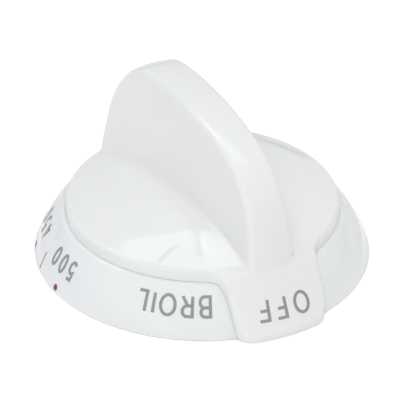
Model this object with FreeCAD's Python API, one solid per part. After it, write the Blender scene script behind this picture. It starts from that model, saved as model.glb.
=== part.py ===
# A thermostat knob: a hollow moulded handle with a sail-shaped grip and an OFF tongue, over a
# conical dial skirt that can be turned against it to calibrate the scale. Millimetres.
# The frame: origin on the knob's axis in the plane of the skirt's back edge, +Z out of the front,
# +Y towards the OFF tongue. The knob lies on its back edge, face up.

import FreeCAD, Part
import math
import os

V = FreeCAD.Vector
AXIS = V(0, 0, 1)

# The cap of the handle, whose radius the other round parts follow, and the skirt's height, which
# carries all that stands on it
CAP_RADIUS = 25.8
SKIRT_HEIGHT = 9.3
CAP_EDGE_RISE = 2.45
CAP_EDGE_HEIGHT = SKIRT_HEIGHT + CAP_EDGE_RISE
CAP_DRAFT = 2.5
CAP_ROUND = 0.8
DOME_RISE = 3.3
CAP_WALL = 2.2

# The dial skirt
SKIRT_STEP = 0.7
SKIRT_TOP_RADIUS = CAP_RADIUS + SKIRT_STEP
SKIRT_FLARE = 5.25
SKIRT_RADIUS = SKIRT_TOP_RADIUS + SKIRT_FLARE
SKIRT_BULGE = 0.6
SKIRT_WALL = 1.8
SKIRT_FOOT_CHAMFER = 0.3
SKIRT_TOP_ROUND = 0.9
FLANGE_THICKNESS = 1.8

# The tongue that carries OFF
TONGUE_HALF_WIDTH = 9.6
TONGUE_TAPER = 2.5
TONGUE_FLARE = 5.7
TONGUE_CORNER_ROUND = 4.2
TONGUE_THICKNESS = 1.25
TONGUE_SHOULDER_ROUND = 2.0
TONGUE_SHOULDER_SET_BACK = 0.3
TONGUE_REACH = 1.85
TONGUE_SPARE = 0.6
TONGUE_EDGE_ROUND = 0.8
TONGUE_LIFT = 0.15
TONGUE_GAP = 0.3
TONGUE_ROOT = 4.0
TONGUE_ROOT_SHARE = 0.8
TONGUE_BOW_AT = 0.45

# The sail-shaped grip
GRIP_RISE = 21.75
GRIP_TOP = CAP_EDGE_HEIGHT + GRIP_RISE
GRIP_CREST_RADIUS = 70.0
GRIP_CREST_AT = -4.0
GRIP_NEAR_REACH = 2.1
GRIP_NEAR = CAP_RADIUS + GRIP_NEAR_REACH
GRIP_FAR_REACH = 0.2
GRIP_FAR = CAP_RADIUS + GRIP_FAR_REACH
GRIP_NEAR_LEAN = 10.0
GRIP_FAR_LEAN = 1.0
GRIP_NEAR_CORNER = 18.0
GRIP_FAR_CORNER = 13.0
GRIP_NOSE_RADIUS = 18.0
GRIP_HEEL_RADIUS = 22.0
GRIP_CROWN_RADIUS = 30.0
GRIP_EDGE_ROUND = 1.0
GRIP_FOOT_ROUND = 1.0
GRIP_SINK = 1.0
GRIP_LOFT_MARGIN = 0.6
# Half widths of the grip at its near end, middle and far end, low down and high up
GRIP_LOW = 12.0
GRIP_HIGH = 30.0
GRIP_HALF_LOW = (4.8, 5.5, 10.2)
GRIP_HALF_HIGH = (3.3, 4.15, 4.4)

# The core pockets inside the grip
CORE_WALL = 2.6
CORE_HALF_WIDTH_LOW = 2.9
CORE_HALF_WIDTH_HIGH = 1.9

# The stem with its D-shaped socket for a shaft of 6.35 mm
SHAFT_RADIUS = 3.175
SHAFT_FLAT = 2.4
SOCKET_CLEARANCE = 0.075
SOCKET_DEPTH = 16.0
STEM_RADIUS = 6.0
STEM_RECESS = 1.0
SLIT_WIDTH = 1.0
SLIT_AT = 3.05
SLIT_DEPTH = 4.5
SPRING_WIDTH = 2.4
SPRING_THICKNESS = 0.5
SPRING_SET_BACK = 0.8
SPRING_GAP_ANGLE = 50.0
SPRING_CLEARANCE = 0.02

# The calibration joint between handle and skirt
SEAT_GAP = 0.05
SEAT_WIDTH = 7.4
SPIGOT_RADIUS = CAP_RADIUS - SEAT_WIDTH
SPIGOT_WALL = 2.0
SPIGOT_CLEARANCE = 0.05
NOTCH_ANGLE = 5.6
NOTCH_STEPS = 2
NOTCH_DEPTH = 0.4
NOTCH_WIDTH = 0.7
MIDDLE_NOTCH_WIDTH = 1.1
PEG_SET_OUT = 3.5
PEG_AT = SPIGOT_RADIUS + PEG_SET_OUT
PEG_RADIUS = 1.1
PEG_CLEARANCE = 0.25

# The clamp plate and its screws
PLATE_THICKNESS = 0.9
PLATE_HOLD = 1.9
PLATE_RADIUS = SPIGOT_RADIUS + PLATE_HOLD
PLATE_STEM_CLEARANCE = 0.4
POINTER_REACH = 3.4
POINTER_ROOT = 1.0
POINTER_HALF_WIDTH = 2.2
POINTER_GAP = 0.2
SCREW_SET_OUT = 6.6
SCREW_AT = STEM_RADIUS + SCREW_SET_OUT
SCREW_RADIUS = 1.45
SCREW_LENGTH = 5.0
SCREW_HOLE_CLEARANCE = 0.25
SCREW_THREAD_CLEARANCE = 0.03
SCREW_HEAD_RADIUS = 2.9
SCREW_HEAD_HEIGHT = 1.7
SCREW_HEAD_ROUND = 0.9
SCREW_RECESS_WIDTH = 0.8
SCREW_RECESS_REACH = 1.8
SCREW_RECESS_DEPTH = 0.9
BOSS_RADIUS = 3.3
RIB_WIDTH = 1.4
RIB_COUNT = 4
RIB_SET_BACK = 1.0
SCREW_END_GAP = 0.4

# How closely an edge must lie to be picked, the points looked at on it, the steps that solve for a
# level, and how far trimming blocks reach past what they trim
PICK = 0.02
EDGE_SAMPLES = 5
SOLVE_STEPS = 12
TRIM_REACH = 2.0


# Plain helpers

def arc(a, b, c):
    return Part.Arc(a, b, c).toShape()


def line(a, b):
    return Part.makeLine(a, b)


def revolved(edges):
    """A closed outline in the XZ plane turned about the knob's axis."""
    return Part.Face(Part.Wire(edges)).revolve(V(0, 0, 0), AXIS, 360)


def ring(outer, inner, bottom, height):
    tube = Part.makeCylinder(outer, height, V(0, 0, bottom))
    return tube.cut(Part.makeCylinder(inner, height, V(0, 0, bottom)))


def turned(shape, degrees):
    copy = shape.copy()
    copy.rotate(V(0, 0, 0), AXIS, degrees)
    return copy


def rounded(corner, a, b, radius):
    """The start, middle and end of a rounded corner of an outline, between its sides towards a and b."""
    to_a = (a - corner).normalize()
    to_b = (b - corner).normalize()
    half = to_a.getAngle(to_b) / 2
    inward = (to_a + to_b).normalize()
    centre = corner + inward * (radius / math.sin(half))
    reach = radius / math.tan(half)
    return corner + to_a * reach, centre - inward * radius, corner + to_b * reach


def flank(outset, t):
    """A point on the skirt's outer slope, t from 0 at the back edge to 1 at the top, moved outwards."""
    run = SKIRT_TOP_RADIUS - SKIRT_RADIUS
    length = math.hypot(run, SKIRT_HEIGHT)
    across = V(SKIRT_HEIGHT / length, 0, -run / length)
    bulge = 4 * SKIRT_BULGE * t * (1 - t)
    return V(SKIRT_RADIUS + run * t, 0, SKIRT_HEIGHT * t) + across * (bulge + outset)


def flank_at_level(outset, level):
    """The point of the skirt's moved slope that lies at a level."""
    t = level / SKIRT_HEIGHT
    for _ in range(SOLVE_STEPS):
        t += (level - flank(outset, t).z) / SKIRT_HEIGHT
    return flank(outset, t)


# Levels that several pieces share
SEAT_LEVEL = SKIRT_HEIGHT + SEAT_GAP
FLANGE_BOTTOM = SKIRT_HEIGHT - FLANGE_THICKNESS
FLANGE_BORE = SPIGOT_RADIUS + SPIGOT_CLEARANCE
PLATE_TOP = FLANGE_BOTTOM - SEAT_GAP
PLATE_BOTTOM = PLATE_TOP - PLATE_THICKNESS
DOME_TOP = CAP_EDGE_HEIGHT + DOME_RISE
DOME_RADIUS = (CAP_RADIUS ** 2 + DOME_RISE ** 2) / (2 * DOME_RISE)
DOME_CENTRE = DOME_TOP - DOME_RADIUS
GRIP_FOOT = SEAT_LEVEL - GRIP_SINK
GRIP_LOFT_HALF = max(GRIP_HALF_LOW) + GRIP_LOFT_MARGIN
SOCKET_RADIUS = SHAFT_RADIUS + SOCKET_CLEARANCE
SOCKET_FLAT = SHAFT_FLAT + SOCKET_CLEARANCE


def dome_point(r, inset=0.0):
    return V(r, 0, DOME_CENTRE + math.sqrt((DOME_RADIUS - inset) ** 2 - r ** 2))


def dial_skirt():
    """The printed skirt: a slightly bowed cone with an inward flange that turns on the spigot."""
    under = flank_at_level(-SKIRT_WALL, FLANGE_BOTTOM)
    inside = flank_at_level(-SKIRT_WALL, FLANGE_BOTTOM / 2)
    foot = flank_at_level(-SKIRT_WALL, 0)
    bore_top = V(FLANGE_BORE, 0, SKIRT_HEIGHT)
    chamfer_foot = V(SKIRT_RADIUS - SKIRT_FOOT_CHAMFER, 0, 0)
    chamfer_top = flank(0, SKIRT_FOOT_CHAMFER / SKIRT_HEIGHT)
    high = rounded(flank(0, 1), flank(0, 1 - SKIRT_TOP_ROUND / SKIRT_HEIGHT), bore_top, SKIRT_TOP_ROUND)
    body = revolved([
        line(V(FLANGE_BORE, 0, FLANGE_BOTTOM), under),
        arc(under, inside, foot),
        line(foot, chamfer_foot),
        line(chamfer_foot, chamfer_top),
        arc(chamfer_top, flank(0, 0.5), high[0]),
        arc(*high),
        line(high[2], bore_top),
        line(bore_top, V(FLANGE_BORE, 0, FLANGE_BOTTOM)),
    ])
    for step in range(-NOTCH_STEPS, NOTCH_STEPS + 1):
        body = body.cut(turned(index_notch(step == 0), step * NOTCH_ANGLE))
    return body.cut(peg_slot())


def index_notch(is_middle):
    """A radial groove in the flange's back face that the clamp plate's pointer is read against."""
    width = MIDDLE_NOTCH_WIDTH if is_middle else NOTCH_WIDTH
    start = PLATE_RADIUS + POINTER_REACH + POINTER_GAP
    length = flank_at_level(-SKIRT_WALL, FLANGE_BOTTOM).x - NOTCH_DEPTH - start
    return Part.makeBox(width, length, NOTCH_DEPTH, V(-width / 2, start, FLANGE_BOTTOM))


def peg_slot():
    """The arc slot in the flange that the handle's stop peg runs in."""
    half = PEG_RADIUS + PEG_CLEARANCE
    sweep = 2 * NOTCH_STEPS * NOTCH_ANGLE
    slot = ring(PEG_AT + half, PEG_AT - half, FLANGE_BOTTOM, FLANGE_THICKNESS)
    wedge = Part.makeCylinder(SKIRT_RADIUS, FLANGE_THICKNESS, V(0, 0, FLANGE_BOTTOM), AXIS, sweep)
    slot = slot.common(turned(wedge, -90 - sweep / 2))
    for side in (-1, 1):
        end = Part.makeCylinder(half, FLANGE_THICKNESS, V(PEG_AT, 0, FLANGE_BOTTOM))
        slot = slot.fuse(turned(end, -90 + side * sweep / 2))
    return slot


def cap_blank():
    """The cap: a shallow dome with a rounded rim and a drafted wall down to the seat."""
    foot = V(0, CAP_RADIUS, SEAT_LEVEL)
    top = V(0, 0, DOME_TOP)
    ball = V(0, 0, DOME_CENTRE)
    rim, wall_end, dome_end = corner_centre(foot, math.radians(CAP_DRAFT), CAP_ROUND, ball, DOME_RADIUS)
    return revolved([
        line(V(0, 0, SEAT_LEVEL), top),
        bent(top, dome_end, ball, DOME_RADIUS),
        bent(dome_end, wall_end, rim, CAP_ROUND),
        line(wall_end, foot),
        line(foot, V(0, 0, SEAT_LEVEL)),
    ])


def circles(body, radius):
    """The level round edges of a turned body that have a radius."""
    return [e for e in body.Edges if abs(e.BoundBox.XMax - radius) < PICK and e.BoundBox.ZLength < PICK]


def tongue_blank():
    """The tongue: the dome carried on past the rim and down over the skirt, trimmed to its outline."""
    gap = TONGUE_GAP
    outset = TONGUE_GAP + TONGUE_THICKNESS
    shoulder = dome_point(flank(outset, 1).x - TONGUE_SHOULDER_SET_BACK)
    tip_out = V(SKIRT_RADIUS + TONGUE_REACH + TONGUE_SPARE, 0, TONGUE_LIFT)
    tip_in = flank_at_level(gap, TONGUE_LIFT)
    neck_in = flank_at_level(gap, SEAT_LEVEL)
    root = V(CAP_RADIUS - TONGUE_ROOT, 0, SEAT_LEVEL)
    crown = dome_point(CAP_RADIUS - TONGUE_ROOT)
    edges = [
        line(root, crown),
        arc(crown, dome_point(CAP_RADIUS - TONGUE_ROOT / 2), shoulder),
        arc(shoulder, flank(outset, TONGUE_BOW_AT), tip_out),
        line(tip_out, tip_in),
        arc(tip_in, flank(gap, 0.5), neck_in),
        line(neck_in, root),
    ]
    body = revolved(edges)
    body = body.makeFillet(TONGUE_SHOULDER_ROUND, circles(body, shoulder.x)).common(tongue_outline())
    return body.makeFillet(TONGUE_EDGE_ROUND, [e for e in body.Edges if is_tongue_rim(e)])


def is_tongue_rim(edge):
    """The edges of the tongue's outer face: down both flared sides and round the tip."""
    middle = edge.valueAt((edge.FirstParameter + edge.LastParameter) / 2)
    bounds = edge.BoundBox
    reach = math.hypot(middle.x, middle.y)
    upright = bounds.XLength < PICK and bounds.YLength < PICK
    across = flank(1, 0) - flank(0, 0)
    outset = (reach - SKIRT_RADIUS) * across.x + middle.z * across.z
    outer = outset > TONGUE_GAP + TONGUE_THICKNESS / 2 and middle.z > TONGUE_LIFT + PICK
    return outer and reach > CAP_RADIUS and not upright


def tongue_outline():
    """The tongue seen from the front: a tapered strip with round corners that flares into the cap's rim."""
    taper = math.radians(TONGUE_TAPER)
    outward = V(math.cos(taper), math.sin(taper), 0)
    side = V(TONGUE_HALF_WIDTH, CAP_RADIUS, 0).dot(outward)
    tip_radius = SKIRT_RADIUS + TONGUE_REACH

    def centre_beside(reach, offset):
        """The centre of a fillet: at a distance from the axis, and offset outwards from the side line."""
        turn = math.asin((side + offset) / reach) - taper
        return V(reach * math.sin(turn), reach * math.cos(turn), 0)

    flare = centre_beside(CAP_RADIUS + TONGUE_FLARE, TONGUE_FLARE)
    corner = centre_beside(tip_radius - TONGUE_CORNER_ROUND, -TONGUE_CORNER_ROUND)
    toe = V(flare).normalize() * CAP_RADIUS
    neck = flare - outward * TONGUE_FLARE
    bend = corner + outward * TONGUE_CORNER_ROUND
    tip = V(corner).normalize() * tip_radius
    inner = toe * TONGUE_ROOT_SHARE
    left = [V(-p.x, p.y, 0) for p in (inner, toe, neck, bend, tip)]
    flare_left = V(-flare.x, flare.y, 0)
    corner_left = V(-corner.x, corner.y, 0)
    edges = [
        line(inner, toe),
        bent(toe, neck, flare, TONGUE_FLARE),
        line(neck, bend),
        bent(bend, tip, corner, TONGUE_CORNER_ROUND),
        arc(tip, V(0, tip_radius, 0), left[4]),
        bent(left[4], left[3], corner_left, TONGUE_CORNER_ROUND),
        line(left[3], left[2]),
        bent(left[2], left[1], flare_left, TONGUE_FLARE),
        line(left[1], left[0]),
        line(left[0], inner),
    ]
    return Part.Face(Part.Wire(edges)).extrude(V(0, 0, GRIP_TOP))


def corner_centre(foot, lean, radius, crest_centre, crest_radius):
    """The centre of the arc that joins a leaning end line to the crest arc, and its two ends."""
    along = V(0, -math.sin(lean), math.cos(lean))
    inward = V(0, -math.cos(lean), -math.sin(lean))
    start = foot + inward * radius - crest_centre
    reach = crest_radius - radius
    slope = start.dot(along)
    t = -slope + math.sqrt(slope ** 2 - start.dot(start) + reach ** 2)
    centre = foot + inward * radius + along * t
    on_line = foot + along * t
    on_crest = crest_centre + (centre - crest_centre).normalize() * crest_radius
    return centre, on_line, on_crest


def bent(a, b, centre, radius):
    """An arc from a to b about a centre."""
    middle = ((a + b) * 0.5 - centre).normalize()
    return arc(a, centre + middle * radius, b)


def mirrored(p):
    return V(p.x, -p.y, p.z)


def grip_outline(x, inset):
    """The grip's side view at a distance x from its middle plane, moved inwards by an inset."""
    nose_sag = x ** 2 / (2 * GRIP_NOSE_RADIUS)
    heel_sag = x ** 2 / (2 * GRIP_HEEL_RADIUS)
    crown = x ** 2 / (2 * GRIP_CROWN_RADIUS)
    crest_radius = GRIP_CREST_RADIUS - inset - crown
    crest_centre = V(x, GRIP_CREST_AT, GRIP_TOP - GRIP_CREST_RADIUS)
    foot = V(x, GRIP_NEAR - nose_sag - inset, GRIP_FOOT)
    near = corner_centre(foot, math.radians(GRIP_NEAR_LEAN), GRIP_NEAR_CORNER - inset,
                         crest_centre, crest_radius)
    heel = V(x, GRIP_FAR - heel_sag - inset, GRIP_FOOT)
    far = corner_centre(heel, math.radians(GRIP_FAR_LEAN), GRIP_FAR_CORNER - inset,
                        mirrored(crest_centre), crest_radius)
    far = [mirrored(p) for p in far]
    heel = mirrored(heel)
    return Part.Wire([
        line(foot, near[1]),
        bent(near[1], near[2], near[0], GRIP_NEAR_CORNER - inset),
        bent(near[2], far[2], crest_centre, crest_radius),
        bent(far[2], far[1], far[0], GRIP_FAR_CORNER - inset),
        line(far[1], heel),
        line(heel, foot),
    ])


def grip_sides(low, high, bottom):
    """A drafted block whose waisted sides give the grip its thickness."""
    wires = []
    for level in (bottom, GRIP_TOP + TRIM_REACH):
        share = (level - GRIP_LOW) / (GRIP_HIGH - GRIP_LOW)
        near, middle, far = [a + (b - a) * share for a, b in zip(low, high)]
        y_near = GRIP_NEAR + TRIM_REACH
        y_far = -GRIP_FAR - TRIM_REACH
        corners = [V(near, y_near, level), V(far, y_far, level),
                   V(-far, y_far, level), V(-near, y_near, level)]
        wires.append(Part.Wire([
            arc(corners[0], V(middle, 0, level), corners[1]),
            line(corners[1], corners[2]),
            arc(corners[2], V(-middle, 0, level), corners[3]),
            line(corners[3], corners[0]),
        ]))
    return Part.makeLoft(wires, True, True)


def grip_blank():
    """The sail-shaped grip: its side view lofted across, trimmed by its drafted sides and rounded."""
    stations = [GRIP_LOFT_HALF * k for k in (-1, -0.5, 0, 0.5, 1)]
    roof = Part.makeLoft([grip_outline(x, 0.0) for x in stations], True, False)
    body = roof.common(grip_sides(GRIP_HALF_LOW, GRIP_HALF_HIGH, GRIP_FOOT))
    rims = [e for e in body.Edges if is_grip_rim(e)]
    return body.makeFillet(GRIP_EDGE_ROUND, rims)


def is_grip_rim(edge):
    """The long edge chain on each side of the grip, from its near foot over the crest to the far foot."""
    bounds = edge.BoundBox
    one_sided = bounds.XMin > PICK or bounds.XMax < -PICK
    return one_sided and bounds.ZMax > GRIP_FOOT + PICK


def handle_outside():
    """The outer form of the handle: cap, tongue and grip run together, with a fillet at the grip's foot."""
    grip = grip_blank().common(Part.makeCylinder(2 * SKIRT_RADIUS, GRIP_TOP, V(0, 0, SEAT_LEVEL)))
    body = cap_blank().fuse([tongue_blank(), grip]).removeSplitter()
    return body.makeFillet(GRIP_FOOT_ROUND, [e for e in body.Edges if is_grip_foot(e)])


def is_grip_foot(edge):
    """The edges where the grip stands on the dome."""
    span = edge.LastParameter - edge.FirstParameter
    points = [edge.valueAt(edge.FirstParameter + span * k / EDGE_SAMPLES) for k in range(EDGE_SAMPLES + 1)]
    on_dome = all(abs(p.z - dome_point(math.hypot(p.x, p.y)).z) < PICK for p in points)
    return on_dome and all(abs(p.x) < GRIP_LOFT_HALF for p in points)


def handle_hollow():
    """The space under the dome, inside the spigot, that the moulding is cored out to."""
    inner = SPIGOT_RADIUS - SPIGOT_WALL
    edges = [
        line(V(0, 0, PLATE_TOP), V(0, 0, DOME_TOP - CAP_WALL)),
        arc(V(0, 0, DOME_TOP - CAP_WALL), dome_point(inner / 2, CAP_WALL), dome_point(inner, CAP_WALL)),
        line(dome_point(inner, CAP_WALL), V(inner, 0, PLATE_TOP)),
        line(V(inner, 0, PLATE_TOP), V(0, 0, PLATE_TOP)),
    ]
    return revolved(edges)


def grip_core():
    """The pockets that core out the grip, one on each side of the stem."""
    outlines = [grip_outline(x, CORE_WALL) for x in (-GRIP_LOFT_HALF, 0, GRIP_LOFT_HALF)]
    roof = Part.makeLoft(outlines, True, False)
    end = SPIGOT_RADIUS - SPIGOT_WALL
    wires = []
    for half, level in ((CORE_HALF_WIDTH_LOW, PLATE_TOP), (CORE_HALF_WIDTH_HIGH, GRIP_TOP)):
        corners = [V(half, end, level), V(half, -end, level), V(-half, -end, level), V(-half, end, level)]
        wires.append(Part.makePolygon(corners + corners[:1]))
    core = roof.common(Part.makeLoft(wires, True, True))
    return core.cut(Part.makeCylinder(STEM_RADIUS, GRIP_TOP))


def socket_shape():
    """The D-shaped socket: a round bore with one flat, in the stem's open end."""
    bottom = STEM_RECESS
    bore = Part.makeCylinder(SOCKET_RADIUS, SOCKET_DEPTH, V(0, 0, bottom))
    keep = Part.makeBox(2 * STEM_RADIUS, STEM_RADIUS + SOCKET_FLAT, SOCKET_DEPTH,
                        V(-STEM_RADIUS, -STEM_RADIUS, bottom))
    return bore.common(keep)


def stem():
    """The stem with its slit end, where the spring band sits in a groove."""
    height = DOME_TOP - STEM_RECESS
    body = Part.makeCylinder(STEM_RADIUS, height, V(0, 0, STEM_RECESS))
    groove_bottom = STEM_RECESS + SPRING_SET_BACK
    groove = ring(STEM_RADIUS, STEM_RADIUS - SPRING_THICKNESS, groove_bottom,
                  SPRING_WIDTH + 2 * SPRING_CLEARANCE)
    body = body.cut(groove)
    for side in (-1, 1):
        corner = V(side * SLIT_AT - SLIT_WIDTH / 2, 0, STEM_RECESS)
        slit = Part.makeBox(SLIT_WIDTH, 2 * STEM_RADIUS, SLIT_DEPTH, corner)
        body = body.cut(slit)
    return body


def bosses():
    height = DOME_TOP - PLATE_TOP
    return [Part.makeCylinder(BOSS_RADIUS, height, V(side * SCREW_AT, 0, PLATE_TOP)) for side in (-1, 1)]


def ribs():
    """Thin walls that tie the stem to the spigot, between the bosses."""
    reach = SPIGOT_RADIUS - SPIGOT_WALL / 2
    walls = []
    for k in range(RIB_COUNT):
        wall = Part.makeBox(reach, RIB_WIDTH, DOME_TOP - PLATE_TOP - RIB_SET_BACK,
                            V(0, -RIB_WIDTH / 2, PLATE_TOP + RIB_SET_BACK))
        walls.append(turned(wall, (k + 0.5) * 360 / RIB_COUNT))
    return walls


def knob_handle():
    """The whole handle moulding."""
    spigot_blank = Part.makeCylinder(SPIGOT_RADIUS, SEAT_LEVEL - PLATE_TOP, V(0, 0, PLATE_TOP))
    shaft_stem = stem()
    kept = shaft_stem.fuse(bosses() + ribs())
    space = handle_hollow().fuse(grip_core()).cut(kept)
    stem_end = shaft_stem.common(Part.makeCylinder(SPIGOT_RADIUS, PLATE_TOP + RIB_SET_BACK))
    peg_length = SEAT_LEVEL - FLANGE_BOTTOM
    peg = Part.makeCylinder(PEG_RADIUS, peg_length + PEG_RADIUS, V(0, -PEG_AT, FLANGE_BOTTOM))
    body = handle_outside().fuse(spigot_blank).cut(space).fuse(stem_end).fuse(peg)
    body = body.cut(socket_shape())
    for side in (-1, 1):
        hole = Part.makeCylinder(SCREW_RADIUS + SCREW_THREAD_CLEARANCE, SCREW_LENGTH,
                                 V(side * SCREW_AT, 0, PLATE_TOP))
        body = body.cut(hole)
    return body


def clamp_plate():
    """The steel plate that clamps the skirt's flange against the seat, with its index pointer."""
    body = Part.makeCylinder(PLATE_RADIUS, PLATE_THICKNESS, V(0, 0, PLATE_BOTTOM))
    root = PLATE_RADIUS - POINTER_ROOT
    tip = PLATE_RADIUS + POINTER_REACH
    corners = [V(-POINTER_HALF_WIDTH, root, PLATE_BOTTOM), V(POINTER_HALF_WIDTH, root, PLATE_BOTTOM),
               V(0, tip, PLATE_BOTTOM)]
    pointer = Part.Face(Part.makePolygon(corners + corners[:1])).extrude(V(0, 0, PLATE_THICKNESS))
    body = body.fuse(pointer).removeSplitter()
    stem_hole = STEM_RADIUS + PLATE_STEM_CLEARANCE
    body = body.cut(Part.makeCylinder(stem_hole, PLATE_THICKNESS, V(0, 0, PLATE_BOTTOM)))
    for side in (-1, 1):
        hole = Part.makeCylinder(SCREW_RADIUS + SCREW_HOLE_CLEARANCE, PLATE_THICKNESS,
                                 V(side * SCREW_AT, 0, PLATE_BOTTOM))
        body = body.cut(hole)
    return body


def clamp_screw(side):
    """A pan-head screw, driven from behind into a boss of the handle."""
    length = SCREW_LENGTH - SCREW_END_GAP + PLATE_THICKNESS
    shank = Part.makeCylinder(SCREW_RADIUS, length, V(0, 0, PLATE_BOTTOM))
    head_bottom = PLATE_BOTTOM - SCREW_HEAD_HEIGHT
    head = Part.makeCylinder(SCREW_HEAD_RADIUS, SCREW_HEAD_HEIGHT, V(0, 0, head_bottom))
    head = head.makeFillet(SCREW_HEAD_ROUND, [e for e in head.Edges if e.BoundBox.ZMax < head_bottom + PICK])
    body = shank.fuse(head)
    for degrees in (0, 90):
        bar = Part.makeBox(2 * SCREW_RECESS_REACH, SCREW_RECESS_WIDTH, SCREW_RECESS_DEPTH,
                           V(-SCREW_RECESS_REACH, -SCREW_RECESS_WIDTH / 2, head_bottom))
        body = body.cut(turned(bar, degrees))
    body.translate(V(side * SCREW_AT, 0, 0))
    return body


def stem_spring():
    """The split steel band that closes the slit stem on the shaft."""
    bottom = STEM_RECESS + SPRING_SET_BACK + SPRING_CLEARANCE
    outer = STEM_RADIUS
    inner = outer - SPRING_THICKNESS + SPRING_CLEARANCE
    band = ring(outer, inner, bottom, SPRING_WIDTH)
    gap = Part.makeCylinder(2 * outer, SPRING_WIDTH, V(0, 0, bottom), AXIS, SPRING_GAP_ANGLE)
    return band.cut(turned(gap, -90 - SPRING_GAP_ANGLE / 2))


NODES = {
    "dial_skirt": dial_skirt,
    "knob_handle": knob_handle,
    "clamp_plate": clamp_plate,
    "clamp_screw_left": lambda: clamp_screw(-1),
    "clamp_screw_right": lambda: clamp_screw(1),
    "stem_spring": stem_spring,
}


def main():
    os.makedirs("parts", exist_ok=True)
    for name, make in NODES.items():
        shape = make()
        print(name, "valid", shape.isValid(), "solids", len(shape.Solids), "volume", round(shape.Volume, 1))
        shape.exportStep("parts/%s.step" % name)


if __name__ == "__main__":
    main()
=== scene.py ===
# %% [markdown]
# # A white oven thermostat knob
#
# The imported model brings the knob's six solids: a moulded handle, the dial skirt under it, and the
# steel parts behind them. This lesson adds what a solid can't show: the print on the dial, the
# plastic's gloss and the light of a small product studio.
#
# Everything is in metres and in the model's own frame. The origin is on the knob's axis in the
# plane of the skirt's back edge, Z points out of the front, and Y points towards the OFF tongue.

import math

import bmesh
import bpy
from mathutils import Matrix, Vector
from mathutils.bvhtree import BVHTree


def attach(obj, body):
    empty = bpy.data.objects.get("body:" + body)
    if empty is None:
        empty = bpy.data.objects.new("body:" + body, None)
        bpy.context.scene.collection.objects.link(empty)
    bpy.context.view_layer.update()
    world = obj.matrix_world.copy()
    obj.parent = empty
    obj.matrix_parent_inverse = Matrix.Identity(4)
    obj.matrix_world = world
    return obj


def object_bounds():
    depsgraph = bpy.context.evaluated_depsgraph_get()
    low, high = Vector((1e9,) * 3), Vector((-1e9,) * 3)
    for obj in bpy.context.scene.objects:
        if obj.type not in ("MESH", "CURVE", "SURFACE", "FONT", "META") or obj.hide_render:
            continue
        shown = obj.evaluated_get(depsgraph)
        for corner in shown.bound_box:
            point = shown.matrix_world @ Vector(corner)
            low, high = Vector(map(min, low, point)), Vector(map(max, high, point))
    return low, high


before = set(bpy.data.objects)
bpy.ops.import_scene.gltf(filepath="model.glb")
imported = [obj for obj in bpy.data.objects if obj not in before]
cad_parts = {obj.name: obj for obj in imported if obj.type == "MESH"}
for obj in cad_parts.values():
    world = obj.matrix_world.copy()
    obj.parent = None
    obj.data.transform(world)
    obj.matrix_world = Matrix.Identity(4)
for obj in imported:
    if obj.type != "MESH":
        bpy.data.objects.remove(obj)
cad_low, cad_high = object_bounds()
MM = 0.001
print("nodes:", sorted(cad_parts))
print("size in mm:", [round(v / MM, 1) for v in cad_high - cad_low])

# %% [markdown]
# ## The camera
#
# The knob was photographed from close by with a long lens, looking down on it at about a third of
# a right angle. The camera stands to the left of the OFF tongue, and it is turned a little about
# its own line of sight, so the table's edge would not be quite level.
#
# A camera could be aimed with a constraint. Here its three axes are written down instead, because
# a matrix built from them shows plainly which way is right, up and back.

# %% Placing the camera
CAMERA_TURN = 61.0
CAMERA_RISE = 32.5
CAMERA_ROLL = 0.63
CAMERA_DISTANCE = 1.0
FRAME_PIXELS = 415
FOCAL_PIXELS = 5289
BASE_LEFT_PIXELS = 5.6
BASE_BELOW_PIXELS = 42.0
SENSOR_WIDTH = 36.0
NEAREST_SEEN = 0.01


def outward(turn, rise):
    """A unit vector from the knob, by its turn from X towards Y and its rise above the table."""
    flat = math.cos(math.radians(rise))
    return Vector((flat * math.cos(math.radians(turn)),
                   flat * math.sin(math.radians(turn)),
                   math.sin(math.radians(rise))))


def place_camera():
    """The camera, aimed so that the middle of the skirt's base lies where the photograph has it."""
    data = bpy.data.cameras.new("photo_camera")
    data.sensor_width = SENSOR_WIDTH
    data.lens = SENSOR_WIDTH * FOCAL_PIXELS / FRAME_PIXELS
    data.clip_start = NEAREST_SEEN
    camera = bpy.data.objects.new("photo_camera", data)
    bpy.context.scene.collection.objects.link(camera)
    spot = outward(CAMERA_TURN, CAMERA_RISE) * CAMERA_DISTANCE
    level = Vector((0, 0, 1)).cross(spot).normalized()
    upright = spot.cross(level).normalized()
    roll = math.radians(CAMERA_ROLL)
    right = level * math.cos(roll) + upright * math.sin(roll)
    up = upright * math.cos(roll) - level * math.sin(roll)
    metres = CAMERA_DISTANCE / FOCAL_PIXELS
    aim = right * BASE_LEFT_PIXELS * metres + up * BASE_BELOW_PIXELS * metres
    back = (spot - aim).normalized()
    right = (right - back * right.dot(back)).normalized()
    up = back.cross(right)
    camera.matrix_world = Matrix.Translation(spot) @ Matrix((right, up, back)).transposed().to_4x4()
    bpy.context.scene.camera = camera
    return camera


camera = place_camera()
bpy.context.scene.view_settings.view_transform = "Standard"
print("lens in mm:", round(camera.data.lens, 1))

# %% [markdown]
# ## White moulded plastic
#
# The handle and the skirt come out of two moulds, in a hard glossy white plastic. Up close such a
# surface is not perfect: the colour drifts by a shade, the polish varies, and the skin has a faint
# long ripple that bends reflections slightly. Each of these is one noise texture, at the scale of
# the thing it stands for.

# %% Helpers for materials
NOISE_LOW = 0.3
NOISE_HIGH = 0.7


def new_material(name):
    """An empty material with one main shader, and the two things needed to wire it."""
    material = bpy.data.materials.new(name)
    material.use_nodes = True
    nodes = material.node_tree.nodes
    nodes.clear()
    output = nodes.new("ShaderNodeOutputMaterial")
    shader = nodes.new("ShaderNodeBsdfPrincipled")
    material.node_tree.links.new(shader.outputs["BSDF"], output.inputs["Surface"])
    return material, shader


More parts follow.
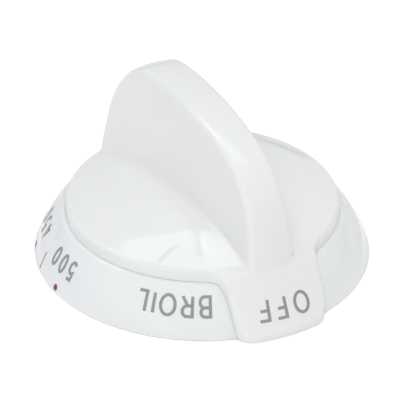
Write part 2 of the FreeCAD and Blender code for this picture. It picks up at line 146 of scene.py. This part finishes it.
def noise(material, scale, detail=2.0, stretch=(1, 1, 1)):
    """A noise texture over the piece's own coordinates, in features per metre."""
    nodes = material.node_tree.nodes
    links = material.node_tree.links
    where = nodes.new("ShaderNodeTexCoord")
    mapping = nodes.new("ShaderNodeMapping")
    mapping.inputs["Scale"].default_value = stretch
    texture = nodes.new("ShaderNodeTexNoise")
    texture.inputs["Scale"].default_value = scale
    texture.inputs["Detail"].default_value = detail
    links.new(where.outputs["Object"], mapping.inputs["Vector"])
    links.new(mapping.outputs["Vector"], texture.inputs["Vector"])
    return texture.outputs["Fac"]


def colour_between(material, factor, first, second):
    """Mixes two colours by a noise factor."""
    nodes = material.node_tree.nodes
    ramp = nodes.new("ShaderNodeValToRGB")
    ramp.color_ramp.elements[0].position = NOISE_LOW
    ramp.color_ramp.elements[0].color = (*first, 1)
    ramp.color_ramp.elements[1].position = NOISE_HIGH
    ramp.color_ramp.elements[1].color = (*second, 1)
    material.node_tree.links.new(factor, ramp.inputs["Fac"])
    return ramp.outputs["Color"]


def value_between(material, factor, low, high):
    """Maps a noise factor onto a range of values."""
    node = material.node_tree.nodes.new("ShaderNodeMapRange")
    node.inputs["From Min"].default_value = NOISE_LOW
    node.inputs["From Max"].default_value = NOISE_HIGH
    node.inputs["To Min"].default_value = low
    node.inputs["To Max"].default_value = high
    material.node_tree.links.new(factor, node.inputs["Value"])
    return node.outputs["Result"]


def ripple(material, shader, factor, height):
    """Bends the surface's normal by a noise of a height in metres."""
    bump = material.node_tree.nodes.new("ShaderNodeBump")
    bump.inputs["Distance"].default_value = height
    material.node_tree.links.new(factor, bump.inputs["Height"])
    material.node_tree.links.new(bump.outputs["Normal"], shader.inputs["Normal"])


print("noise is read between", NOISE_LOW, "and", NOISE_HIGH)

# %% Making the plastics
COLOUR_DRIFT_SCALE = 60.0
POLISH_SCALE = 350.0
PLASTIC_ROUGHNESS = (0.012, 0.025)
RIPPLE_SCALE = 130.0
RIPPLE_HEIGHT = 0.0000012
PLASTIC_IOR = 1.5
SCATTER_WEIGHT = 0.12
SCATTER_REACH = 0.0012
SCATTER_BY_COLOUR = (1.0, 0.95, 0.85)


def moulded_plastic(name, colour, shade):
    """Hard glossy plastic: a little light goes in and comes out again near by."""
    material, shader = new_material(name)
    links = material.node_tree.links
    drift = noise(material, COLOUR_DRIFT_SCALE)
    links.new(colour_between(material, drift, colour, shade), shader.inputs["Base Color"])
    polish = noise(material, POLISH_SCALE)
    links.new(value_between(material, polish, *PLASTIC_ROUGHNESS), shader.inputs["Roughness"])
    ripple(material, shader, noise(material, RIPPLE_SCALE, detail=0.0), RIPPLE_HEIGHT)
    shader.inputs["IOR"].default_value = PLASTIC_IOR
    shader.inputs["Subsurface Weight"].default_value = SCATTER_WEIGHT
    shader.inputs["Subsurface Radius"].default_value = SCATTER_BY_COLOUR
    shader.inputs["Subsurface Scale"].default_value = SCATTER_REACH
    return material


handle_white = moulded_plastic("handle_white_plastic", (0.88, 0.885, 0.875), (0.865, 0.87, 0.86))
skirt_white = moulded_plastic("skirt_white_plastic", (0.87, 0.88, 0.88), (0.855, 0.863, 0.865))
print("plastics:", handle_white.name, skirt_white.name)

# %% [markdown]
# ## The steel behind
#
# The clamp plate is stamped from zinc-plated sheet, so it has the fine straight marks of the rolling
# mill under a slightly cloudy plating. The screws are plated too, but turned, and the spring band is
# polished spring steel, darker and sharper. One function makes all three, with the grain and the
# cloudiness as its settings.

# %% Making the steels
CLOUD_SCALE = 220.0
GRAIN_SCALE = 900.0
GRAIN_ROUGHNESS = 0.16
GRAIN_HEIGHT = 0.000004
FINE_DETAIL = 3.0


def plated_steel(name, colour, shade, polish, grain):
    """Steel whose roughness runs in fine lines. Its grain says how much finer along each axis."""
    material, shader = new_material(name)
    links = material.node_tree.links
    cloud = noise(material, CLOUD_SCALE, FINE_DETAIL)
    links.new(colour_between(material, cloud, colour, shade), shader.inputs["Base Color"])
    lines = noise(material, GRAIN_SCALE, stretch=grain)
    roughness = value_between(material, lines, polish, polish + GRAIN_ROUGHNESS)
    links.new(roughness, shader.inputs["Roughness"])
    ripple(material, shader, lines, GRAIN_HEIGHT)
    shader.inputs["Metallic"].default_value = 1.0
    return material


plate_steel = plated_steel("zinc_plated_plate",
                           (0.62, 0.61, 0.58), (0.54, 0.54, 0.53), 0.26, (1, 14, 1))
screw_steel = plated_steel("zinc_plated_screw",
                           (0.66, 0.65, 0.62), (0.58, 0.58, 0.57), 0.2, (1, 1, 6))
spring_steel = plated_steel("polished_spring_band",
                            (0.46, 0.46, 0.47), (0.38, 0.38, 0.4), 0.14, (1, 1, 14))

FINISH_OF_NODE = {
    "knob_handle": handle_white,
    "dial_skirt": skirt_white,
    "clamp_plate": plate_steel,
    "clamp_screw_left": screw_steel,
    "clamp_screw_right": screw_steel,
    "stem_spring": spring_steel,
}
for name, finish in FINISH_OF_NODE.items():
    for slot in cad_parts[name].material_slots:
        slot.material = finish
print("finished nodes:", len(FINISH_OF_NODE))

# %% [markdown]
# ## The print
#
# The words and numbers are pad-printed: a soft pad picks a thin film of ink up from a plate and
# presses it onto the curved plastic. The lettering is the plain kind that a pen of one width draws.
#
# Blender's own text could be bent round the dial, but its letters are not these. So each letter is
# written as a few pen strokes in a box one unit high, and the strokes are joined into one flat
# shape with a boolean. The shape is then cut into small cells and laid on the plastic point by
# point, by a ray that looks for the surface, so the ink follows whatever form lies under it.

# %% The pen strokes of each letter
CURVE_STEPS = 14


def bow(x, y, across, tall, start, end):
    """Points along part of an ellipse, from one angle to another, in degrees."""
    points = []
    for k in range(CURVE_STEPS + 1):
        angle = math.radians(start + (end - start) * k / CURVE_STEPS)
        points.append((x + across * math.cos(angle), y + tall * math.sin(angle)))
    return points


FULL_OVAL = bow(0.5, 0.5, 0.5, 0.5, 90, 270) + bow(0.5, 0.5, 0.5, 0.5, 270, 450)
# The B's lower stroke keeps a hair beside the upper one: a boolean can't join walls that coincide.
STROKES = {
    "O": [FULL_OVAL],
    "F": [[(0, 0), (0, 1), (1, 1)], [(0, 0.52), (0.86, 0.52)]],
    "B": [[(0, 0.54), (0, 1), (0.5, 1)] + bow(0.52, 0.77, 0.38, 0.23, 90, -90) + [(0, 0.54)],
          [(0.004, 0.62), (0.004, 0), (0.5, 0)]
          + bow(0.55, 0.275, 0.45, 0.275, -90, 90) + [(0.3, 0.546)]],
    "R": [[(0, 0), (0, 1), (0.5, 1)] + bow(0.52, 0.735, 0.44, 0.265, 90, -90) + [(0, 0.47)],
          [(0.45, 0.47), (1, 0)]],
    "I": [[(0, 0), (0, 1)]],
    "L": [[(0, 1), (0, 0), (1, 0)]],
    "0": [FULL_OVAL],
    "2": [bow(0.48, 0.7, 0.46, 0.3, 165, -35) + [(0, 0), (1, 0)]],
    "3": [bow(0.45, 0.765, 0.43, 0.235, 155, -90), bow(0.45, 0.265, 0.53, 0.265, 90, -155)],
    "4": [[(0.72, 0), (0.72, 1), (0, 0.28), (1, 0.28)]],
    "5": [[(0.92, 1), (0.16, 1), (0.08, 0.563)] + bow(0.46, 0.33, 0.54, 0.33, 135, -145)],
}
print("letters drawn:", "".join(sorted(STROKES)))

# %% Turning strokes into flat ink
INK_ABOVE = 0.00003
INK_BELOW = 0.00003
LONGEST_MITRE = 1.7
SHORTEST_STEP = 0.02
CLOSED_WITHIN = 0.1


def pen_line(points, width, closed):
    """A slab along a path, as wide as the pen, with mitred corners."""
    points = [Vector(p) for p in points]
    path = [points[0]]
    for p in points[1:]:
        if (p - path[-1]).length > width * SHORTEST_STEP:
            path.append(p)
    if closed:
        path.pop()
    count = len(path)
    mesh = bmesh.new()
    sections = []
    for k, p in enumerate(path):
        before = path[k - 1] if k or closed else None
        after = path[(k + 1) % count] if k < count - 1 or closed else None
        arriving = (p - before).normalized() if before else (after - p).normalized()
        leaving = (after - p).normalized() if after else arriving
        along = (arriving + leaving).normalized()
        side = Vector((-along.y, along.x))
        turned = abs(side.dot(Vector((-arriving.y, arriving.x))))
        reach = side * width / 2 / max(1 / LONGEST_MITRE, turned)
        corners = ((1, -INK_BELOW), (-1, -INK_BELOW), (-1, INK_ABOVE), (1, INK_ABOVE))
        sections.append([mesh.verts.new((*(p + hand * reach), z)) for hand, z in corners])
    for k in range(count if closed else count - 1):
        a, b = sections[k], sections[(k + 1) % count]
        for j in range(4):
            mesh.faces.new((a[j], a[(j + 1) % 4], b[(j + 1) % 4], b[j]))
    if not closed:
        mesh.faces.new(sections[0][::-1])
        mesh.faces.new(sections[-1])
    bmesh.ops.recalc_face_normals(mesh, faces=mesh.faces)
    data = bpy.data.meshes.new("pen_line")
    mesh.to_mesh(data)
    mesh.free()
    return data


def united(meshes):
    """One mesh from several that overlap."""
    objects = [bpy.data.objects.new("stroke", m) for m in meshes]
    for o in objects:
        bpy.context.scene.collection.objects.link(o)
    for other in objects[1:]:
        cut = objects[0].modifiers.new("join", "BOOLEAN")
        cut.operation = "UNION"
        cut.solver = "EXACT"
        cut.object = other
    shape = objects[0].evaluated_get(bpy.context.evaluated_depsgraph_get())
    result = bpy.data.meshes.new_from_object(shape)
    for o in objects:
        bpy.data.objects.remove(o)
    return result


def letter(char, width, height, pen):
    """A letter's flat ink, its left edge at x = 0 and its foot at y = 0."""
    inner = Vector((width - pen, height - pen))
    slabs = []
    for stroke in STROKES[char]:
        points = [(pen / 2 + x * inner.x, pen / 2 + y * inner.y) for x, y in stroke]
        closed = (Vector(points[0]) - Vector(points[-1])).length < pen * CLOSED_WITHIN
        slabs.append(pen_line(points, pen, closed))
    return united(slabs)


print("ink slab in mm:", round((INK_ABOVE + INK_BELOW) / MM, 3))

# %% Laying ink on the plastic
CELL = 0.0004
CUT_TOLERANCE = 1e-7
RAY_START = 0.004
SKIRT_FOOT_RADIUS = 0.03175
SKIRT_TOP_RADIUS = 0.0265
SKIRT_RISE = 0.0093
SLOPE_LENGTH = math.hypot(SKIRT_FOOT_RADIUS - SKIRT_TOP_RADIUS, SKIRT_RISE)


def surface_of(node):
    """A search tree over a node's mesh, for rays."""
    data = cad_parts[node].data
    vertices = [v.co.copy() for v in data.vertices]
    return BVHTree.FromPolygons(vertices, [p.vertices[:] for p in data.polygons])


def slope_spot(turn, down):
    """A point on the skirt's straight slope and its outward normal.

    The turn is in degrees from OFF, clockwise seen from the front, and down is the distance from
    the skirt's top edge.
    """
    share = down / SLOPE_LENGTH
    radius = SKIRT_TOP_RADIUS + (SKIRT_FOOT_RADIUS - SKIRT_TOP_RADIUS) * share
    angle = math.radians(90 - turn)
    lean = math.atan2(SKIRT_FOOT_RADIUS - SKIRT_TOP_RADIUS, SKIRT_RISE)
    spoke = Vector((math.cos(angle), math.sin(angle), 0))
    normal = spoke * math.cos(lean) + Vector((0, 0, 1)) * math.sin(lean)
    return spoke * radius + Vector((0, 0, SKIRT_RISE * (1 - share))), normal


def lay_on(tree, flat, turn, down, radius):
    """Bends a flat ink mesh onto a surface. Its x runs clockwise and its y outwards."""
    mesh = bmesh.new()
    mesh.from_mesh(flat)
    bmesh.ops.triangulate(mesh, faces=mesh.faces)
    for axis in (0, 1):
        low = min(v.co[axis] for v in mesh.verts)
        high = max(v.co[axis] for v in mesh.verts)
        normal = Vector((axis == 0, axis == 1, 0))
        for k in range(1, int((high - low) / CELL) + 1):
            everything = mesh.verts[:] + mesh.edges[:] + mesh.faces[:]
            bmesh.ops.bisect_plane(mesh, geom=everything, plane_co=normal * (low + k * CELL),
                                   plane_no=normal, dist=CUT_TOLERANCE)
    for v in mesh.verts:
        spot, away = slope_spot(turn + math.degrees(v.co.x / radius), down + v.co.y)
        hit, normal, _, _ = tree.ray_cast(spot + away * RAY_START, -away)
        v.co = hit + normal * v.co.z
    bmesh.ops.recalc_face_normals(mesh, faces=mesh.faces)
    return mesh


def ink_object(name, meshes, material, body):
    """One printed piece from its laid parts."""
    whole = bmesh.new()
    for mesh in meshes:
        part = bpy.data.meshes.new("part")
        mesh.to_mesh(part)
        mesh.free()
        whole.from_mesh(part)
        bpy.data.meshes.remove(part)
    data = bpy.data.meshes.new(name)
    whole.to_mesh(data)
    whole.free()
    data.materials.append(material)
    piece = bpy.data.objects.new(name, data)
    bpy.context.scene.collection.objects.link(piece)
    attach(piece, body)
    return piece


print("length of the skirt's slope in mm:", round(SLOPE_LENGTH / MM, 2))

# %% [markdown]
# Ink is matt beside the polished plastic, and a pad leaves it a little thinner in places, which
# shows as a slightly cloudy grey. The dots are a second colour, from a second pad.

# %% The inks
INK_PATCH_SCALE = 1400.0
INK_ROUGHNESS = (0.34, 0.5)


def pad_ink(name, colour, thin):
    """Printing ink, thinner in small patches."""
    material, shader = new_material(name)
    links = material.node_tree.links
    patches = noise(material, INK_PATCH_SCALE, FINE_DETAIL)
    links.new(colour_between(material, patches, colour, thin), shader.inputs["Base Color"])
    links.new(value_between(material, patches, *INK_ROUGHNESS), shader.inputs["Roughness"])
    return material


grey_ink = pad_ink("grey_pad_ink", (0.295, 0.3, 0.295), (0.335, 0.34, 0.335))
red_ink = pad_ink("dark_red_pad_ink", (0.21, 0.035, 0.045), (0.26, 0.06, 0.07))
print("inks:", grey_ink.name, red_ink.name)

# %% [markdown]
# ## OFF, BROIL and the temperatures
#
# OFF stands on the handle's tongue, so it turns with the handle. All the rest is on the skirt. The
# letters stand with their feet towards the grip and their tops outwards, and the reader goes round
# clockwise: OFF, BROIL, 500 and on down the scale to 200 on the side that the camera doesn't see.
# The widths of letters, gaps and pens are in millimetres.

# %% Printing a word
LETTER_WIDTH = {"O": 3.25, "F": 2.3, "B": 2.45, "R": 2.45, "I": 0.58, "L": 2.15}
DIGIT_WIDTH = 2.0
WORD_PEN = 0.58
letters_made = {}


def word(text, tree, centre, down, height, gaps, pen, tilt=0.0):
    """Lays a word round the dial, turned on the slope by a tilt in degrees.

    Its feet are a distance down the slope from the skirt's top.
    """
    widths = [LETTER_WIDTH.get(c, DIGIT_WIDTH) * MM for c in text]
    spaces = [g * MM for g in gaps]
    radius = slope_spot(0, down + height / 2)[0].xy.length
    x = -(sum(widths) + sum(spaces)) / 2
    laid = []
    for k, char in enumerate(text):
        key = (char, height, pen)
        if key not in letters_made:
            letters_made[key] = letter(char, widths[k], height, pen * MM)
        moved = letters_made[key].copy()
        tilted = Matrix.Rotation(math.radians(tilt), 4, "Z")
        moved.transform(tilted @ Matrix.Translation((x, 0, 0)))
        laid.append(lay_on(tree, moved, centre, down, radius))
        x += widths[k] + (spaces[k] if k < len(spaces) else 0)
    return laid


print("letters with a width of their own:", "".join(LETTER_WIDTH))

# %% Printing OFF and BROIL
handle_surface = surface_of("knob_handle")
skirt_surface = surface_of("dial_skirt")
OFF_TURN = -0.46
OFF_DOWN = 0.0038
OFF_HEIGHT = 0.0044
OFF_GAPS = (1.35, 1.0)
OFF_TILT = -2.1
BROIL_TURN = 39.2
BROIL_DOWN = 0.0020
BROIL_HEIGHT = 0.0043
BROIL_GAPS = (0.8, 0.72, 0.71, 0.94)
off_letters = word("OFF", handle_surface, OFF_TURN, OFF_DOWN, OFF_HEIGHT, OFF_GAPS, WORD_PEN, OFF_TILT)
off = ink_object("print_off", off_letters, grey_ink, "handle")
broil_letters = word("BROIL", skirt_surface, BROIL_TURN, BROIL_DOWN, BROIL_HEIGHT, BROIL_GAPS, WORD_PEN)
broil = ink_object("print_broil", broil_letters, grey_ink, "skirt")
print("faces in OFF and BROIL:", len(off.data.polygons), len(broil.data.polygons))

# %% Printing the scale
FIRST_TEMPERATURE = 500
LAST_TEMPERATURE = 200
TEMPERATURE_STEP = 50
FIRST_TURN = 90.4
STEP_TURN = 28.7
DIGIT_DOWN = 0.0027
DIGIT_HEIGHT = 0.0040
DIGIT_GAPS = (0.92, 0.92)
DIGIT_PEN = 0.61
temperatures = range(FIRST_TEMPERATURE, LAST_TEMPERATURE - 1, -TEMPERATURE_STEP)
for k, temperature in enumerate(temperatures):
    text = str(temperature)
    turn = FIRST_TURN + k * STEP_TURN
    digits = word(text, skirt_surface, turn, DIGIT_DOWN, DIGIT_HEIGHT, DIGIT_GAPS, DIGIT_PEN)
    ink_object("print_" + text, digits, grey_ink, "skirt")
print("temperatures:", list(temperatures))

# %% [markdown]
# A red dot stands outside each number, and a short grey line halfway to the next. Both are flat
# shapes like the letters, laid by the same function.

# %% Printing the dots and the half-step lines
DOT_RADIUS = 0.00062
DOT_DOWN = 0.00943
DOT_TURN = 89.3
DOT_SIDES = 28
TICK_WIDTH = 0.00042
TICK_DOWN = 0.0063
TICK_END = 0.0098


def flat_dot(radius):
    """A round spot of ink about the origin."""
    mesh = bmesh.new()
    bmesh.ops.create_cone(mesh, cap_ends=True, segments=DOT_SIDES, radius1=radius, radius2=radius,
                          depth=INK_ABOVE + INK_BELOW)
    data = bpy.data.meshes.new("dot")
    mesh.to_mesh(data)
    mesh.free()
    return data


dots = []
ticks = []
for k in range(len(temperatures)):
    turn = DOT_TURN + k * STEP_TURN
    dots.append(lay_on(skirt_surface, flat_dot(DOT_RADIUS), turn, DOT_DOWN, SKIRT_FOOT_RADIUS))
    if k < len(temperatures) - 1:
        tick = pen_line([(0, 0), (0, TICK_END - TICK_DOWN)], TICK_WIDTH, False)
        ticks.append(lay_on(skirt_surface, tick, turn + STEP_TURN / 2, TICK_DOWN, SKIRT_FOOT_RADIUS))
ink_object("print_dots", dots, red_ink, "skirt")
ink_object("print_half_step_lines", ticks, grey_ink, "skirt")
print("dots and lines:", len(temperatures), len(temperatures) - 1)

# %% [markdown]
# ## The table and the light
#
# The photograph has a pure white ground. The floor is a plain white table that shades as paper
# does and keeps the knob's shadow. To the camera it also shines a little, so the ground is white
# without any more light on the knob. In a narrow ring close round the knob it shines in the polish
# of the plastic too: that makes the thin white lines at the sides of the skirt. Nearer in, the knob
# shades the table, and further out the upper side of the grip would go white, so it ends there.

# %% The floor
FLOOR_WHITE = (0.86, 0.86, 0.86, 1)
FLOOR_GLOW = 0.35
FLOOR_SHINE = 0.9
SHINE_RING = ((0.0348, 0), (0.0358, 1), (0.0378, 1), (0.039, 0))
FLOOR_HALF = 2.0


def white_ground():
    """A diffuse ground that also shines to the camera, and in a ring to polished surfaces."""
    material = bpy.data.materials.new("white_ground")
    material.use_nodes = True
    nodes = material.node_tree.nodes
    links = material.node_tree.links
    nodes.clear()
    output = nodes.new("ShaderNodeOutputMaterial")
    both = nodes.new("ShaderNodeAddShader")
    paper = nodes.new("ShaderNodeBsdfDiffuse")
    paper.inputs["Color"].default_value = FLOOR_WHITE
    glow = nodes.new("ShaderNodeEmission")
    where = nodes.new("ShaderNodeTexCoord")
    reach = nodes.new("ShaderNodeVectorMath")
    reach.operation = "LENGTH"
    ring = nodes.new("ShaderNodeValToRGB")
    stops = ring.color_ramp.elements
    stops.remove(stops[0])
    stops[0].color = (0, 0, 0, 1)
    for radius, share in SHINE_RING:
        stops.new(radius).color = (share, share, share, 1)
    ray = nodes.new("ShaderNodeLightPath")
    mirrored = nodes.new("ShaderNodeMath")
    mirrored.operation = "MULTIPLY"
    shine = nodes.new("ShaderNodeMath")
    shine.operation = "MULTIPLY"
    shine.inputs[1].default_value = FLOOR_SHINE
    level = nodes.new("ShaderNodeMath")
    level.operation = "MULTIPLY_ADD"
    level.inputs[1].default_value = FLOOR_GLOW
    links.new(where.outputs["Object"], reach.inputs["Vector"])
    links.new(reach.outputs["Value"], ring.inputs["Fac"])
    links.new(ring.outputs["Color"], shine.inputs[0])
    links.new(ray.outputs["Is Glossy Ray"], mirrored.inputs[0])
    links.new(shine.outputs["Value"], mirrored.inputs[1])
    links.new(ray.outputs["Is Camera Ray"], level.inputs[0])
    links.new(mirrored.outputs["Value"], level.inputs[2])
    links.new(level.outputs["Value"], glow.inputs["Strength"])
    links.new(paper.outputs["BSDF"], both.inputs[0])
    links.new(glow.outputs["Emission"], both.inputs[1])
    links.new(both.outputs["Shader"], output.inputs["Surface"])
    return material


floor_corners = [(x * FLOOR_HALF, y * FLOOR_HALF, 0) for x, y in ((-1, -1), (1, -1), (1, 1), (-1, 1))]
floor_mesh = bpy.data.meshes.new("floor")
floor_mesh.from_pydata(floor_corners, [], [range(len(floor_corners))])
floor_mesh.materials.append(white_ground())
floor = bpy.data.objects.new("floor", floor_mesh)
floor.location.z = cad_low.z
bpy.context.scene.collection.objects.link(floor)
print("floor at", round(floor.location.z / MM, 3), "mm")

# %% [markdown]
# The light is that of a small product table: an even white room and softboxes round it, a large
# bright sheet overhead that reaches far behind the knob, and a small strong lamp high on the left.
# The softboxes are kept out of the polish, because the photograph shows none of their outlines on
# the skirt. The dome mirrors the overhead sheet's back end towards the camera as the bright patch
# left of the grip, and the crest mirrors its right edge as a soft streak. A stand and a strut below
# the sheet leave two dark bars in the patch. The small lamp and its dimmer flap reach the dome by
# way of the grip's polished side, so the patch runs on to the grip's foot. The pole that carries
# them is seen the same way, and makes the upper part of the upright bar. A black sheet low behind
# the knob, seen only in the polish, paints a dark reflection there: the dark line along the dome's
# far rim.
#
# Directions are given as a turn and a rise, in degrees. The turn is measured from the camera,
# anticlockwise seen from above.

# %% The lamps
KNOB_MIDDLE = Vector((0, 0, 0.012))
SOFTBOX_SIZE = 0.5


def softbox(name, turn, rise, distance, power, colour):
    """A square lamp that faces the knob and stays out of its polish."""
    data = bpy.data.lights.new(name, "AREA")
    data.size = SOFTBOX_SIZE
    data.energy = power
    data.color = colour
    lamp = bpy.data.objects.new(name, data)
    lamp.visible_glossy = False
    bpy.context.scene.collection.objects.link(lamp)
    spot = outward(CAMERA_TURN + turn, rise) * distance
    lamp.location = spot
    lamp.rotation_mode = "QUATERNION"
    lamp.rotation_quaternion = (spot - KNOB_MIDDLE).to_track_quat("Z", "Y")


softbox("low_left_softbox", -60, 12, 0.8, 0.6, (0.86, 0.87, 1))
softbox("front_softbox", 0, 45, 0.9, 2.5, (0.995, 1, 0.95))
softbox("back_right_softbox", 125, 30, 0.8, 0.57, (1, 0.98, 1))

# %% The glowing sheets
SHEET_DISTANCE = 0.8
OVERHEAD_CORNERS = ((-160, 50.4), (-178, 51.2), (86, 67), (88, 76), (150, 77), (-141, 64))
OVERHEAD_COLOUR = (0.935, 0.975, 1, 1)
OVERHEAD_GLOW = 1.92
SMALL_LAMP_CORNERS = ((-116, 53.5), (-127, 53.5), (-127, 65), (-116, 65))
LAMP_FLAP_CORNERS = ((-127, 53.5), (-138, 53.5), (-138, 65), (-127, 65))
LAMP_COLOUR = (0.92, 0.94, 1, 1)
SMALL_LAMP_GLOW = 10.0
LAMP_FLAP_GLOW = 5.5


def points_at(directions, distance):
    """Points at one distance from the knob, in the directions given."""
    return [outward(CAMERA_TURN + turn, rise) * distance for turn, rise in directions]


def glowing(name, colour, strength):
    """A material that gives light and does nothing else."""
    material = bpy.data.materials.new(name)
    material.use_nodes = True
    nodes = material.node_tree.nodes
    nodes.clear()
    glow = nodes.new("ShaderNodeEmission")
    glow.inputs["Color"].default_value = colour
    glow.inputs["Strength"].default_value = strength
    output = nodes.new("ShaderNodeOutputMaterial")
    material.node_tree.links.new(glow.outputs["Emission"], output.inputs["Surface"])
    return material


def sheet(name, corners, material, lights):
    """A flat piece of the studio. The camera doesn't see it, and it may be seen in the polish alone."""
    data = bpy.data.meshes.new(name)
    data.from_pydata(corners, [], [range(len(corners))])
    data.materials.append(material)
    piece = bpy.data.objects.new(name, data)
    piece.visible_camera = False
    piece.visible_diffuse = lights
    bpy.context.scene.collection.objects.link(piece)


overhead_glow = glowing("overhead_glow", OVERHEAD_COLOUR, OVERHEAD_GLOW)
lamp_glow = glowing("lamp_glow", LAMP_COLOUR, SMALL_LAMP_GLOW)
flap_glow = glowing("flap_glow", LAMP_COLOUR, LAMP_FLAP_GLOW)
sheet("overhead_sheet", points_at(OVERHEAD_CORNERS, SHEET_DISTANCE), overhead_glow, True)
sheet("small_lamp", points_at(SMALL_LAMP_CORNERS, SHEET_DISTANCE), lamp_glow, True)
sheet("lamp_flap", points_at(LAMP_FLAP_CORNERS, SHEET_DISTANCE), flap_glow, False)
print("glowing:", overhead_glow.name, lamp_glow.name, flap_glow.name)

# %% The bars and the painted dark reflection
BAR_DISTANCE = 0.55
BAR_HALF_WIDTH = 0.0048
POLE_HALF_WIDTH = 0.0075
STAND_ENDS = ((-178.95, 50), (-178.55, 60.5))
STRUT_ENDS = ((-172.1, 56.2), (-165.2, 59.7))
LAMP_POLE_ENDS = ((-124.6, 53.4), (-128.6, 60.4))
# The corners of a black sheet that only the polish sees: it paints a dark reflection along the dome's
# far rim.
DARK_REFLECTION_CORNERS = ((176.6, 6.3), (168.6, 13.8), (168.6, 15.2), (176.6, 7.7))


def painted(name, colour):
    """A plain dull material, for what only shows in the knob's polish."""
    material = bpy.data.materials.new(name)
    material.use_nodes = True
    material.node_tree.nodes["Principled BSDF"].inputs["Base Color"].default_value = colour
    return material


def bar(name, ends, half_width, material):
    """A thin strip nearer the knob than the sheets, between two directions from it."""
    low, high = points_at(ends, BAR_DISTANCE)
    across = (high - low).cross(low).normalized() * half_width
    sheet(name, [low - across, low + across, high + across, high - across], material, False)


stand_grey = painted("stand_grey", (0.3, 0.31, 0.32, 1))
painted_dark_reflection = painted("painted_dark_reflection", (0.03, 0.03, 0.035, 1))
bar("stand", STAND_ENDS, BAR_HALF_WIDTH, stand_grey)
bar("strut", STRUT_ENDS, BAR_HALF_WIDTH, stand_grey)
bar("lamp_pole", LAMP_POLE_ENDS, POLE_HALF_WIDTH, stand_grey)
# A painted dark reflection: a black sheet, seen only in the polish, that makes the dark line along the
# dome's far rim.
sheet("dark_reflection_sheet", points_at(DARK_REFLECTION_CORNERS, SHEET_DISTANCE), painted_dark_reflection, False)
print("bars and rail:", stand_grey.name, painted_dark_reflection.name)

# %% [markdown]
# Round the table the walls are darker than the ceiling. Polished plastic shows that near its
# outline, where it mirrors the horizon, so the skirt goes grey towards its sides. A gradient on the
# direction's height makes the walls.

# %% The room
CEILING_LEVEL = 0.622
WALL_LEVEL = 0.415
WALL_TOP = 0.16
WALL_FADE = 0.1
ROOM_COLOUR = (0.962, 0.972, 1, 1)
CAMERA_WHITE = (1, 1, 1, 1)
world = bpy.data.worlds.new("white_room")
bpy.context.scene.world = world
world.use_nodes = True
nodes = world.node_tree.nodes
links = world.node_tree.links
nodes.clear()
where = nodes.new("ShaderNodeTexCoord")
split = nodes.new("ShaderNodeSeparateXYZ")
height = nodes.new("ShaderNodeMapRange")
height.interpolation_type = "SMOOTHSTEP"
height.inputs["From Min"].default_value = WALL_TOP - WALL_FADE
height.inputs["From Max"].default_value = WALL_TOP + WALL_FADE
height.inputs["To Min"].default_value = WALL_LEVEL
height.inputs["To Max"].default_value = CEILING_LEVEL
room = nodes.new("ShaderNodeBackground")
room.inputs["Color"].default_value = ROOM_COLOUR
seen = nodes.new("ShaderNodeBackground")
seen.inputs["Color"].default_value = CAMERA_WHITE
choice = nodes.new("ShaderNodeMixShader")
path = nodes.new("ShaderNodeLightPath")
end = nodes.new("ShaderNodeOutputWorld")
links.new(where.outputs["Generated"], split.inputs["Vector"])
links.new(split.outputs["Z"], height.inputs["Value"])
links.new(height.outputs["Result"], room.inputs["Strength"])
links.new(path.outputs["Is Camera Ray"], choice.inputs["Fac"])
links.new(room.outputs["Background"], choice.inputs[1])
links.new(seen.outputs["Background"], choice.inputs[2])
links.new(choice.outputs["Shader"], end.inputs["Surface"])
print("ceiling and wall levels:", CEILING_LEVEL, WALL_LEVEL)
